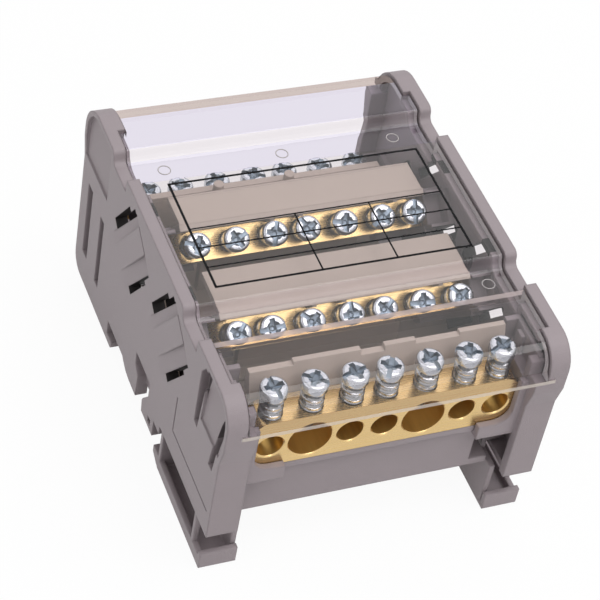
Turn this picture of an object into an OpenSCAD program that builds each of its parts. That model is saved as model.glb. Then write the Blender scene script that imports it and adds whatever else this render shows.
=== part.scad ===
// Four-pole power distribution block for a 35 mm top-hat rail.
// Millimetres. +Z is up, the front (wire side of the high bar) faces -Y, X runs along the bars.
// The origin is on the standing plane, midway between the end walls and between the front and rear.

/* [Overall] */
// width over both end walls
overall_width = 71.2; // [66:0.1:90]
// height of the end wall rim
rim_height = 49.6; // [44:0.1:60]
// distance from the middle to the front and rear flanges
half_depth = 44.3; // [40:0.1:50]
// how far the rim stands out past the flanges
rim_bulge = 1.2; // [0.6:0.1:2]
// radius of the upper front corner
corner_radius = 6; // [3:0.5:7]
// radius of the upper rear corner
rear_radius = 8.5; // [5:0.5:9]

/* [Grooves] */
// distance from the front flange to the front cross groove
front_inset = 17.6; // [16.8:0.1:18.4]
// distance from the rear flange to the front edge of the rear cross groove
rear_inset = 25.9; // [25:0.1:27]
// width of each groove
groove_width = 10.2; // [8:0.1:12]
// depth of each groove
groove_depth = 3.1; // [2:0.1:4]

/* [End walls] */
// thickness of the end wall plate
wall_thick = 2.6; // [2:0.1:3.5]
// width of the rim near the front and the rear
rim_wide = 4.2; // [3.4:0.1:5]
// width of the upright flanges
flange_width = 6.6; // [5:0.1:7]
// thickness of the upright flanges
flange_thick = 2; // [1.4:0.1:2.6]
// lower end of the front flange
flange_bottom = 11.8; // [11:0.1:14]
// tilt of the windows beside the leaning bars
window_tilt = 36; // [30:1:45]
// length of the window slots
window_length = 12.4; // [8:0.1:14]
// depth of the slots in the outer face
slot_depth = 2; // [1:0.1:2.2]

/* [Bars] */
// length of a bar
bar_length = 56.6; // [54:0.1:58]
// thickness of a bar, along its wire bores
bar_thick = 6.4; // [6:0.1:7]
// height of a bar
bar_height = 12.6; // [12:0.1:13]
// radius of the corners of a bar
bar_corner = 4; // [1:0.1:5]
// diameter of the small wire bores
small_bore = 5.5; // [4:0.1:6]
// diameter of the large wire bores
large_bore = 9; // [7:0.1:9.4]
// distance between two small bores
small_pitch = 7.25; // [6.6:0.05:7.6]
// distance from a small bore to a large bore
mixed_pitch = 8.35; // [7.8:0.05:8.6]
// drop of the bores below the middle of the bar
bore_drop = 0.8; // [0.5:0.1:1]
// forward lean of the two middle bars
bar_tilt = 40; // [34:1:44]

/* [Screws] */
// diameter of the thread
thread_diameter = 4.8; // [4:0.1:5]
// diameter of the head
head_diameter = 5.5; // [5.2:0.1:5.8]
// height of the head
head_height = 2.4; // [1.8:0.1:2.6]
// diameter of the neck below the head
neck_diameter = 3.9; // [3:0.1:4]
// height of the heads over the two middle bars
screw_rise = 5.6; // [5:0.1:6]
// height of the heads over the front and the rear bar
raised_rise = 6.9; // [6:0.1:7.3]
// length of the screw from the head's top to its point
screw_length = 9.4; // [9:0.1:9.8]
// width of the drive slot
slot_width = 0.9; // [0.6:0.1:1.2]

/* [Cover] */
// thickness of the clear cover
cover_thick = 1.5; // [1.2:0.1:1.6]
// how far the cover lies below the rim
cover_drop = 0.65; // [0.4:0.05:1]
// height of the cover's front and rear skirts below the rim
skirt_height = 7.9; // [6.6:0.1:8.6]
// how far the lips of the skirts stand out past the rim
skirt_lip = 0.7; // [0.6:0.05:1]

/* [Rail and sliders] */
// width of the rail
rail_width = 35; // [35:0.1:35.4]
// height of the seat on the rail
rail_seat = 5; // [4.6:0.1:5.2]
// rear edge of the rail
rail_rear = 19.6; // [19:0.1:20.2]
// inner face of a slider
slider_inner = 27.4; // [27.2:0.1:27.6]
// plate thickness of a slider
slider_plate = 1.2; // [0.8:0.1:1.2]
// height of the slider's front lip
lip_height = 4.3; // [3:0.1:6]

/* [Fits] */
// radial gap of a screw in its thread
thread_fit = 0.06; // [0.02:0.01:0.1]
// gap of a bar in its pocket
seat_gap = 0.1; // [0.05:0.01:0.2]
// gap between pieces that move
free_gap = 0.35; // [0.3:0.01:0.6]

/* [Hidden] */
$fn = 40;
outer_x = overall_width / 2;
plate_x = outer_x - wall_thick;
rim_x = outer_x - rim_wide;
flange_x = outer_x - flange_width;
front_y = half_depth + rim_bulge;
corner_z = rim_height - corner_radius;
kink_z = corner_z - 4.9;
under_z = kink_z - 5.1;
pocket_x = 20.7;
pocket_wall = 1.5;
pocket_floor = 2.6;
guide_wall = 0.8;
lip_inset = 0.8;
front_groove = front_inset - half_depth;
rear_groove = half_depth - rear_inset;
skirt_bottom = rim_height - skirt_height;
cover_zone = [5.9 - half_depth, half_depth - 10.9];
middle_z = rim_height - 17.2;
bar_row = [
    [6.2 - half_depth, rim_height - 16.4, 0],
    [-0.28 * half_depth, middle_z, bar_tilt],
    [0.282 * half_depth, middle_z, bar_tilt],
    [half_depth - 9.6, 15.5, 0]
];
row_rise = [raised_rise, screw_rise, screw_rise, raised_rise];
roof_rear = [0, 8, 5];
bar_turn = [0, 180, 0, 180];
bore_x = [
    -small_pitch - 2 * mixed_pitch,
    -small_pitch - mixed_pitch,
    -small_pitch,
    0,
    mixed_pitch,
    2 * mixed_pitch,
    2 * mixed_pitch + small_pitch
];
bore_is_large = [0, 1, 0, 0, 1, 0, 0];
apron_y = 4.3 - half_depth;
back_y = half_depth - 16.3;
rail_front = rail_rear - rail_width;
slider_front = 1.5 - half_depth;
slider_rear = rail_front - 0.4;
slider_outer = outer_x - 0.2;
shelf_z = [flange_bottom + 0.3, flange_bottom + 1.8];
grey = [0.55, 0.52, 0.53];
brass = [0.78, 0.64, 0.40];
zinc = [0.75, 0.77, 0.80];
clear = [0.93, 0.90, 0.92, 0.35];

// points along an arc
function arc(centre, radius, from, to, steps) =
    [for (i = [0:steps]) let (a = from + (to - from) * i / steps)
        centre + radius * [cos(a), sin(a)]];

// one cross groove of the rim: upright front side, floor, rounded rear side
function groove(start) =
    let (r = groove_depth / 2, rear = start + groove_width)
    concat(
        [[start, rim_height], [start, rim_height - groove_depth]],
        arc([rear - 2 * r, rim_height - r], r, 270, 360, 5),
        arc([rear, rim_height - r], r, 180, 90, 5)
    );

// side view of the rim above the flanges
function rim_points() = concat(
    [[-half_depth, under_z], [-front_y, kink_z]],
    arc([corner_radius - front_y, corner_z], corner_radius, 180, 90, 8),
    groove(front_groove),
    groove(rear_groove),
    arc([front_y - rear_radius, rim_height - rear_radius], rear_radius, 90, 0, 10),
    [[front_y, kink_z], [half_depth, under_z]]
);

// side view of the whole end wall with the rail hook and the slider's recess
function wall_points() = concat(
    [[-half_depth, flange_bottom]],
    rim_points(),
    arc([half_depth - 4, 5.7], 4, 0, -90, 5),
    [
        [rail_rear - 2.4, 1.7], [rail_rear - 2.9, 2.2], [rail_rear - 2.9, rail_seat - 1.4],
        [rail_rear + 0.3, rail_seat - 1.4], [rail_rear + 0.3, rail_seat + 2.2],
        [9.6, rail_seat + 2.2], [8.6, rail_seat + 1.4], [6.8, rail_seat + 0.4], [4.6, rail_seat],
        [slider_rear + 4.4, rail_seat], [slider_rear + 4.4, 9.5], [slider_rear + 0.9, 9.5],
        [slider_rear + 0.9, flange_bottom]
    ]
);

// side-view outlines drawn in (Y, Z) and carried along X
module along_x(from, to) {
    translate([from, 0, 0])
        rotate([90, 0, 90])
            linear_extrude(to - from)
                children();
}

// a box by its two corners
module block(low, high) {
    translate(low)
        cube(high - low);
}

// the band of the rim between two depths below its surface
module rim_band(outer, inner) {
    difference() {
        offset(delta = -outer)
            polygon(rim_points());
        offset(delta = -inner)
            polygon(rim_points());
    }
}

// places its children in the frame of one bar
module at_bar(row) {
    translate([0, bar_row[row - 1][0], bar_row[row - 1][1]])
        rotate([bar_row[row - 1][2], 0, 0])
            children();
}

// pocket for one end of a bar: floor, end stop, two lips and a raised guide
module bar_pocket(row) {
    side = bar_thick / 2 + seat_gap;
    low = -bar_height / 2 - seat_gap;
    stop_x = bar_length / 2 + seat_gap;
    block([pocket_x, -side - pocket_wall, low - pocket_floor], [plate_x + 0.1, side + pocket_wall, low]);
    block([stop_x, -side - pocket_wall, low - 0.1], [plate_x + 0.1, side + pocket_wall, bar_height / 2]);
    for (face = [-1, 1])
        translate([0, face * (side + pocket_wall / 2) + pocket_wall / 2, 0])
            rotate([90, 0, 0])
                linear_extrude(pocket_wall)
                    pocket_lip(low);
    if (row == 1)
        front_guide(side);
    else
        difference() {
            block([bar_length / 2 - 0.6, -side - guide_wall, bar_height / 2 - 0.1],
                [plate_x + 0.1, side + guide_wall, bar_height / 2 + 3.6]);
            block([bar_length / 2 - 0.7, -side, bar_height / 2 - 0.2], [plate_x - 1.2, side, bar_height / 2 + 4]);
        }
}

// free-standing rib with two arms at the end of the front bar
module front_guide(side) {
    low = bar_height / 2;
    rear = side + 4.7;
    x = bar_length / 2;
    block([x + seat_gap, side - 0.1, low - 4], [plate_x + 0.1, rear, low]);
    block([x - 0.2, rear - 1.2, low - 4], [x + 3.4, rear, low + 5.4]);
    block([x + 2.3, -side, low - 0.1], [x + 3.4, rear, low + 5.4]);
    block([x + 1.4, side - 0.6, low - 0.1], [x + 3.4, side + 1.6, low + 4.4]);
    block([x + 0.4, -side - 0.9, low - 0.1], [x + 3.4, 1 - side, low + 5]);
}

// front view of a pocket lip, its edge following the corner of the bar
module pocket_lip(low) {
    inner_corner = bar_corner - lip_inset / 2;
    difference() {
        translate([pocket_x, low - pocket_floor])
            square([plate_x + 0.1 - pocket_x, bar_height + seat_gap + pocket_floor]);
        translate([0, lip_inset - bar_height / 2 + inner_corner])
            square([bar_length / 2 - lip_inset, bar_height * 2]);
        translate([0, lip_inset - bar_height / 2])
            square([bar_length / 2 - lip_inset - inner_corner, bar_height * 2]);
        translate([bar_length / 2 - lip_inset - inner_corner, lip_inset - bar_height / 2 + inner_corner])
            circle(inner_corner);
    }
}

// two window slots, and a tongue between them with a ramp on either side, seen from outside
module window_set() {
    half = window_length / 2;
    for (slot = [[5.3, 7.6, 5.3, 6.4], [-8.6, -6.8, -7.7, -6.8]]) {
        block([plate_x - 3, slot[0], -half], [outer_x + 0.1, slot[1], half]);
        block([plate_x + 0.8, slot[2], half - 0.1], [outer_x + 0.1, slot[3], half + 3.4]);
    }
    for (strip = [[2.7, 5.31], [-6.81, -3]])
        translate([outer_x, strip[0], -10])
            rotate([0, -3.4, 0])
                cube([3, strip[1] - strip[0], 20]);
    block([outer_x - 1.4, -3.1, 9.7], [outer_x + 0.1, 2.8, 10.1]);
}

// deep slots in the outer face, in side view
module face_slots() {
    polygon([
        [13.9 - half_depth, rim_height - 18.2], [13.9 - half_depth, rim_height - 4.4],
        [12.2 - half_depth, rim_height - 1.9], [10.6 - half_depth, rim_height - 1.9],
        [12.1 - half_depth, rim_height - 18.6]
    ]);
    polygon([
        [2 - half_depth, rim_height - 5], [1 - half_depth, rim_height - 8], [2.6 - half_depth, rim_height - 20.6],
        [4.6 - half_depth, rim_height - 20.6], [2.9 - half_depth, rim_height - 8]
    ]);
    translate([half_depth - 15.8, 8.8])
        square([2.4, rim_height - 30.4]);
    translate([half_depth - 7.4, 9.4])
        square([3, rim_height - 29.6]);
}

// shallow ramp let into the outer face below the rim, from nothing at low to deep at high
module rim_ramp(from, to, low, deep) {
    high = rim_height - 2;
    slope = atan(deep / (high - low));
    intersection() {
        along_x(outer_x - 3, outer_x + 0.1)
            offset(delta = -1.2)
                polygon(rim_points());
        translate([outer_x, from, low])
            rotate([0, -slope, 0])
                cube([4, to - from, rim_height]);
    }
}

// the right-hand end wall; the left one is its mirror image
module end_wall() {
    difference() {
        union() {
            along_x(plate_x, outer_x)
                polygon(wall_points());
            along_x(rim_x, plate_x + 0.1)
                intersection() {
                    rim_band(0, 2.4);
                    union() {
                        translate([-120, skirt_bottom - 0.6])
                            square([120 + cover_zone[0], 20]);
                        translate([cover_zone[1], skirt_bottom - 0.6])
                            square([120, 20]);
                    }
                }
            along_x(plate_x - 1.6, plate_x + 0.1)
                intersection() {
                    rim_band(cover_drop + cover_thick + free_gap, cover_drop + cover_thick + free_gap + 1.3);
                    translate([cover_zone[0] - 0.5, skirt_bottom])
                        square([cover_zone[1] - cover_zone[0] + 1, 20]);
                }
            along_x(flange_x, plate_x + 0.1)
                flange_outline();
            for (row = [1:4])
                at_bar(row)
                    bar_pocket(row);
            slider_shelf();
        }
        for (row = [2, 3])
            translate([0, bar_row[row - 1][0] + 0.2, bar_row[row - 1][1] + 3.6])
                rotate([window_tilt, 0, 0])
                    window_set();
        along_x(outer_x - slot_depth, outer_x + 0.1)
            face_slots();
        rim_ramp(-half_depth - 5, 11 - half_depth, rim_height - 21, 1.1);
        rim_ramp(half_depth - 16, half_depth + 5, rim_height - 22, 1.2);
        along_x(plate_x - 0.1, outer_x + 0.1)
            polygon([
                [2, 16.3], [-7, 16.2], [-7, 12.3], [-4.4, 9], [-3.9, 8], [-4.4, 4],
                [0, 4], [-0.1, 11], [1.9, 12.9]
            ]);
        block([plate_x - 0.1, -9.8, 6.2], [outer_x + 0.1, -8.2, 7.8]);
        face_line();
    }
}

// upright flanges at the front and the rear, in side view
module flange_outline() {
    intersection() {
        difference() {
            polygon(wall_points());
            translate([flange_thick - half_depth, -10])
                square([2 * (half_depth - flange_thick), 80]);
        }
        translate([-120, 5])
            square([240, skirt_bottom - 0.6 - 5]);
    }
}

// inner shelf that the slider hangs on
module slider_shelf() {
    block([slider_inner + slider_plate + 1, -half_depth + flange_thick - 0.1, shelf_z[0]],
        [plate_x + 0.1, slider_rear - 0.4, shelf_z[1]]);
}

// thin line pressed into the outer face above the slider
module face_line() {
    block([outer_x - 0.5, -21.7, 18], [outer_x + 0.1, -21.3, 27.8]);
    block([outer_x - 0.5, 1.7 - half_depth, 17.8], [outer_x + 0.1, -21.3, 18.2]);
}

module wall_right() {
    color(grey)
        end_wall();
}

module wall_left() {
    color(grey)
        mirror([1, 0, 0])
            end_wall();
}

// front view of a bar with rounded corners
module bar_outline() {
    half_x = bar_length / 2 - bar_corner;
    half_z = bar_height / 2 - bar_corner;
    square([2 * half_x, bar_height], center = true);
    square([bar_length, 2 * half_z], center = true);
    for (x = [-half_x, half_x], z = [-half_z, half_z])
        translate([x, z])
            circle(bar_corner);
}

// one wire bore with eased mouths
module wire_bore(diameter) {
    rotate([90, 0, 0])
        cylinder(d = diameter, h = bar_thick + 1, center = true);
    for (face = [-1, 1])
        translate([0, face * (bar_thick / 2 - 0.3), 0])
            rotate([-90 * face, 0, 0])
                cylinder(d1 = diameter, d2 = diameter + 1, h = 0.5);
}

// one bar in its own frame: wire bores across it, tapped holes from above
module bar_body() {
    difference() {
        translate([0, bar_thick / 2, 0])
            rotate([90, 0, 0])
                linear_extrude(bar_thick)
                    bar_outline();
        for (i = [0:6])
            translate([bore_x[i], 0, 0]) {
                translate([0, 0, -bore_drop])
                    wire_bore(bore_is_large[i] == 1 ? large_bore : small_bore);
                translate([0, 0, -bore_drop])
                    cylinder(d = thread_diameter + 2 * thread_fit, h = bar_height);
            }
    }
}

module bar(row) {
    color(brass)
        at_bar(row)
            rotate([0, 0, bar_turn[row - 1]])
                bar_body();
}

// half outline of a screw, head down to point
module screw_outline(head_top) {
    r = thread_diameter / 2;
    tip = head_top - screw_length;
    head_under = head_top - head_height;
    polygon([
        [0, head_top], [head_diameter / 2 - 0.5, head_top], [head_diameter / 2, head_top - 0.5],
        [head_diameter / 2, head_under], [neck_diameter / 2, head_under],
        [neck_diameter / 2, head_under - 0.9], [r, head_under - 1.3],
        [r, tip + 0.6], [r - 0.6, tip], [0, tip]
    ]);
}

// one terminal screw with slot and cross recess
module screw(row, place) {
    head_top = bar_height / 2 + row_rise[row - 1];
    color(zinc)
        at_bar(row)
            rotate([0, 0, bar_turn[row - 1]])
                translate([bore_x[place - 1], 0, 0])
                    difference() {
                        rotate_extrude()
                            screw_outline(head_top);
                        translate([0, 0, head_top])
                            rotate([0, 0, 20 + 47 * place + 31 * row])
                                screw_drive();
                    }
}

// recess of the drive: a full slot and a shorter cross
module screw_drive() {
    cube([head_diameter + 1, slot_width, 2], center = true);
    cube([slot_width, head_diameter * 0.66, 2.6], center = true);
}

// ledge and partition that back one bar, in the frame of the bar
module bar_saddle(row) {
    side = bar_thick / 2 + seat_gap;
    low = -bar_height / 2 - seat_gap;
    top = bar_height / 2;
    reach = pocket_x - seat_gap;
    back = row == 1 ? 3.2 : 1.6;
    lean = row == 1 ? 2.1 : 0;
    rise = row == 1 ? 6.2 : 4.4;
    block([-reach, -side, low - 1.5], [reach, side + back, low]);
    block([-reach, side, low - 0.1], [reach, side + back, top]);
    along_x(-27, 27)
        polygon([
            [side, top - 0.2], [side, top], [side + lean, top + rise],
            [side + back, top + rise], [side + back, top - 0.2]
        ]);
}

// level roof behind the partition of a middle bar, with upright ribs before it
module bar_roof(row) {
    y = bar_row[row - 1][0];
    z = bar_row[row - 1][1];
    block([-26.8, y - 3.3, z + 9.8], [26.8, y + roof_rear[row - 1], z + 11.3]);
    at_bar(row)
        for (x = [-7.4, -1, 20.2])
            block([x, bar_thick / 2 - 0.4, bar_height / 2 + 0.2], [x + 1, bar_thick / 2 + 0.4, bar_height / 2 + 3.4]);
}

// the moulding between the end walls that the bars lie on
module carrier() {
    color(grey)
        difference() {
            union() {
                for (row = [1, 2, 3])
                    at_bar(row)
                        bar_saddle(row);
                for (row = [2, 3])
                    bar_roof(row);
                carrier_apron();
                block([-26.6, apron_y, 12.6], [26.6, back_y + 1.6, 14.4]);
                block([-pocket_x + seat_gap, bar_row[0][0] + 4.9, 14],
                    [pocket_x - seat_gap, bar_row[0][0] + 6.5, bar_row[0][1] - 5]);
                for (row = [2, 3])
                    block([-18, bar_row[row - 1][0] + 3.2, 14], [18, bar_row[row - 1][0] + 4.8, middle_z - 6]);
                rear_partition();
            }
            partition_notches();
        }
}

// front apron below the ledge of the high bar
module carrier_apron() {
    block([-pocket_x + seat_gap, apron_y, 20], [pocket_x - seat_gap, apron_y + 1.8, bar_row[0][1] - 7]);
    translate([0, apron_y + 1.8, 0])
        rotate([90, 0, 0])
            linear_extrude(1.8)
                difference() {
                    translate([-27, 12.6])
                        square([49.5, bar_row[0][1] - 22]);
                    difference() {
                        translate([21, 12.5])
                            square([1.6, 1.6]);
                        translate([21, 14.1])
                            circle(1.5);
                    }
                }
}

// step and notches along the top of the front partition
module partition_notches() {
    rear = bar_row[0][0] + 8;
    top = bar_row[0][1] + bar_height / 2 + 6.2;
    for (span = [[-28, -18, 0.8], [-4, 1, 1.2], [7.6, 17, 0.8]])
        block([span[0], bar_row[0][0], top - span[2]], [span[1], rear, top + 1]);
}

// partition behind the middle bars with the ledge and the apron of the low bar
module rear_partition() {
    low = bar_row[3][1] - bar_height / 2 - seat_gap;
    rear = bar_row[3][0] + 3.9;
    block([-26.6, back_y, low - 1.7], [26.6, back_y + 1.6, middle_z]);
    block([-pocket_x + seat_gap, back_y, low - 1.7], [pocket_x - seat_gap, rear, low]);
    block([-pocket_x + seat_gap, rear - 1.6, 3], [pocket_x - seat_gap, rear, low - 0.1]);
    for (x = [-11.6, 4.4])
        translate([x, back_y - 1.4, 20])
            cylinder(d1 = 3.4, d2 = 2.2, h = middle_z - 16.6);
}

// the clear cover: the rim's own profile, lowered and made thin
module cover() {
    color(clear) {
        along_x(-plate_x + free_gap, plate_x - free_gap)
            intersection() {
                rim_band(cover_drop, cover_drop + cover_thick);
                translate([cover_zone[0] + free_gap, skirt_bottom])
                    square([cover_zone[1] - cover_zone[0] - 2 * free_gap, 20]);
            }
        along_x(-rim_x + free_gap, rim_x - free_gap)
            intersection() {
                rim_band(cover_drop, cover_drop + cover_thick);
                translate([-120, skirt_bottom])
                    square([240, 20]);
            }
        for (turn = [0, 180])
            rotate([0, 0, turn])
                skirt_edge();
    }
}

// lip along the foot of the front skirt, with a thin ear before each rim
module skirt_edge() {
    tall = 1;
    face = front_y + skirt_lip;
    along_x(-rim_x + free_gap, rim_x - free_gap)
        polygon([
            [-face, skirt_bottom], [-face, skirt_bottom + tall], [cover_drop - front_y, skirt_bottom + 2.2],
            [cover_drop - front_y + 0.5, skirt_bottom + 2.2], [cover_drop - front_y + 0.5, skirt_bottom]
        ]);
    block([-plate_x + free_gap, -face, skirt_bottom], [plate_x - free_gap, -front_y - free_gap, skirt_bottom + tall]);
}

// the right-hand rail slider; the left one is its mirror image
module slider_body() {
    inner = slider_inner;
    plate = slider_plate;
    block([inner, slider_front + 1.5, 0], [inner + plate, slider_rear, shelf_z[0]]);
    block([inner, slider_front, 0], [slider_outer, slider_rear, plate]);
    block([inner, slider_front, 0], [slider_outer, slider_front + plate, lip_height]);
    block([inner, slider_front + 6.8, shelf_z[0] - 0.1],
        [inner + plate, slider_rear - 2, shelf_z[1] + free_gap + 1.2]);
    block([inner, slider_front + 6.8, shelf_z[1] + free_gap],
        [plate_x - 0.6, slider_rear - 2, shelf_z[1] + free_gap + 1.2]);
    block([slider_outer - plate, slider_front, 0], [slider_outer, slider_rear, 3]);
    block([slider_outer - plate, slider_front + 4.5, 0], [slider_outer, slider_front + 5.6, flange_bottom - free_gap]);
    block([inner, slider_rear - plate, 0], [slider_outer, slider_rear, flange_bottom - free_gap]);
    along_x(inner, slider_outer)
        polygon([
            [slider_rear - 1, 0], [slider_rear + 0.6, 0.4], [slider_rear + 3.1, 1.8],
            [slider_rear + 3.1, rail_seat - 1.4], [slider_rear - 1, rail_seat - 1.4]
        ]);
}

module slider_right() {
    color(grey)
        slider_body();
}

module slider_left() {
    color(grey)
        mirror([1, 0, 0])
            slider_body();
}

wall_left();
wall_right();
carrier();
cover();
slider_left();
slider_right();
bar(1);  // bar_1
bar(2);  // bar_2
bar(3);  // bar_3
bar(4);  // bar_4
screw(1, 1);  // screw_1_1
screw(1, 2);  // screw_1_2
screw(1, 3);  // screw_1_3
screw(1, 4);  // screw_1_4
screw(1, 5);  // screw_1_5
screw(1, 6);  // screw_1_6
screw(1, 7);  // screw_1_7
screw(2, 1);  // screw_2_1
screw(2, 2);  // screw_2_2
screw(2, 3);  // screw_2_3
screw(2, 4);  // screw_2_4
screw(2, 5);  // screw_2_5
screw(2, 6);  // screw_2_6
screw(2, 7);  // screw_2_7
screw(3, 1);  // screw_3_1
screw(3, 2);  // screw_3_2
screw(3, 3);  // screw_3_3
screw(3, 4);  // screw_3_4
screw(3, 5);  // screw_3_5
screw(3, 6);  // screw_3_6
screw(3, 7);  // screw_3_7
screw(4, 1);  // screw_4_1
screw(4, 2);  // screw_4_2
screw(4, 3);  // screw_4_3
screw(4, 4);  // screw_4_4
screw(4, 5);  // screw_4_5
screw(4, 6);  // screw_4_6
screw(4, 7);  // screw_4_7
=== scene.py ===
"""Dresses the rail-mounted power distribution block and sets up its studio."""
from __future__ import annotations

import logging
import math
from dataclasses import dataclass, replace
from enum import Enum, IntEnum
from functools import reduce
from typing import Sequence

import bmesh
import bpy
from bmesh.types import BMEdge, BMFace, BMVert, BMesh
from bpy.types import ID, Material, Mesh, Node, NodeTree, Object
from bpy.types import NodeSocket as Socket
from mathutils import Matrix, Vector


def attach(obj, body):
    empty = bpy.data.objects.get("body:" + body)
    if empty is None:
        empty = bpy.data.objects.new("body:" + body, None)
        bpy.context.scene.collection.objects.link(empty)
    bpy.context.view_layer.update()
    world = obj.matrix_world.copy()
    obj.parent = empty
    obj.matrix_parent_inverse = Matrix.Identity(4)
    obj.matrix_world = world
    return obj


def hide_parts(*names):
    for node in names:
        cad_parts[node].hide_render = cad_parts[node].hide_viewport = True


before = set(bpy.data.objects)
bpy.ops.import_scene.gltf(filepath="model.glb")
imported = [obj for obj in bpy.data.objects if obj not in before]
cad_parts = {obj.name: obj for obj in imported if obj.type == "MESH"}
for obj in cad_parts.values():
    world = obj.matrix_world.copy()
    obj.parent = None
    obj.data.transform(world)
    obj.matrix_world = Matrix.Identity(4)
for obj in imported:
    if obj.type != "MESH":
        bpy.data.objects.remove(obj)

MM = 0.001
SEEN_RAYS = ("Is Camera Ray", "Is Transmission Ray", "Is Glossy Ray")
EDGE_SAMPLES = 6
NOISE_MIDDLE = 0.5
CUT_GAP = 1e-8
log = logging.getLogger("block")

Point = tuple[float, float, float]
Colour = tuple[float, float, float, float]
Pair = tuple[float, float]


class Body(str, Enum):
    """The rigid bodies that dressed pieces ride on, apart from the screws."""

    BLOCK = "block"
    COVER = "cover"
    SLIDER_LEFT = "slider_left"
    SLIDER_RIGHT = "slider_right"


class Slot(str, Enum):
    """Material slots of the record."""

    GREY = "grey_plastic"
    CLEAR = "clear_plastic"
    BRASS = "brass"
    ZINC = "zinc"


class WallZone(IntEnum):
    """Numbers of an end wall's finishes, in the order that the piece is given them."""

    FACE = 0
    WINDOW = 1
    SLOT = 2


class CoverZone(IntEnum):
    """Numbers of the cover's finishes, in the order that the piece is given them."""

    SHEET = 0
    BEND = 1
    STEP = 2
    END = 3
    EDGE = 4
    LIP = 5
    REAR = 6


class NodeKit:
    """Small helpers around one node tree."""

    def __init__(self, tree: NodeTree) -> None:
        """Keeps the tree that nodes are added to."""
        self.tree = tree

    def add(self, kind: str, **values: object) -> Node:
        """Adds a node and sets its properties.

        Args:
            kind: The node's type name.
            values: Properties to set on the node.

        Returns:
            The new node.
        """
        node = self.tree.nodes.new(kind)
        for name, value in values.items():
            setattr(node, name, value)
        return node

    def link(self, source: Socket, target: Socket) -> None:
        """Links two sockets."""
        self.tree.links.new(source, target)

    def socket(self, name: str, flow: str, kind: str) -> None:
        """Adds a named socket to a group's interface.

        Args:
            name: The socket's name.
            flow: INPUT or OUTPUT.
            kind: What it carries, such as Float.
        """
        self.tree.interface.new_socket(name=name, in_out=flow, socket_type=f"NodeSocket{kind}")

    def math(self, operation: str, *values: Socket | float, clamp: bool = False) -> Socket:
        """Adds a Math node.

        Args:
            operation: What the node does.
            values: Sockets or plain numbers, in the order of the node's inputs.
            clamp: Holds the result between zero and one.

        Returns:
            The result.
        """
        node = self.add("ShaderNodeMath", operation=operation, use_clamp=clamp)
        for target, value in zip(node.inputs, values):
            if isinstance(value, Socket):
                self.link(value, target)
            else:
                target.default_value = value
        return node.outputs[0]

    def any_of(self, masks: Sequence[Socket]) -> Socket:
        """Joins masks into one that is one where any of them is."""
        return reduce(lambda one, other: self.math("MAXIMUM", one, other), masks)

    def seen(self) -> Socket:
        """Gives a mask of the rays that see a surface, straight, through glass or in a mirror."""
        rays = self.add("ShaderNodeLightPath").outputs
        return self.any_of([rays[kind] for kind in SEEN_RAYS])

    def circle(self, radius: Socket, sides: int) -> Socket:
        """Adds a circle.

        Args:
            radius: Its radius.
            sides: Number of its sides.

        Returns:
            The circle's curve.
        """
        node = self.add("GeometryNodeCurvePrimitiveCircle")
        node.inputs["Resolution"].default_value = sides
        self.link(radius, node.inputs["Radius"])
        return node.outputs["Curve"]

    def sweep(self, path: Socket, profile: Socket, caps: bool) -> Socket:
        """Sweeps a profile along a path.

        Args:
            path: The path's curve.
            profile: The profile's curve.
            caps: Closes the ends.

        Returns:
            The swept mesh.
        """
        node = self.add("GeometryNodeCurveToMesh")
        node.inputs["Fill Caps"].default_value = caps
        self.link(path, node.inputs["Curve"])
        self.link(profile, node.inputs["Profile Curve"])
        return node.outputs["Mesh"]

    def put_out(self, made: Socket, finish: Socket) -> None:
        """Realises a tree's geometry, sets its material and puts it out.

        Args:
            made: The geometry.
            finish: The material.
        """
        real = self.add("GeometryNodeRealizeInstances")
        self.link(made, real.inputs[0])
        dress = self.add("GeometryNodeSetMaterial")
        self.link(real.outputs[0], dress.inputs["Geometry"])
        self.link(finish, dress.inputs["Material"])
        self.link(dress.outputs[0], self.add("NodeGroupOutput").inputs[0])


def fill(node: Node, values: dict[str, object]) -> None:
    """Sets named inputs of a node."""
    for name, value in values.items():
        node.inputs[name].default_value = value


def geometry_kit(name: str, numbers: Sequence[str]) -> NodeKit:
    """Starts a Geometry Nodes tree that takes some numbers and a finish.

    Args:
        name: The tree's name.
        numbers: Names of the numbers.

    Returns:
        A helper on the tree.
    """
    kit = NodeKit(bpy.data.node_groups.new(name, "GeometryNodeTree"))
    kit.socket("Geometry", "INPUT", "Geometry")
    for number in numbers:
        kit.socket(number, "INPUT", "Float")
    kit.socket("Finish", "INPUT", "Material")
    kit.socket("Geometry", "OUTPUT", "Geometry")
    return kit


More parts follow.
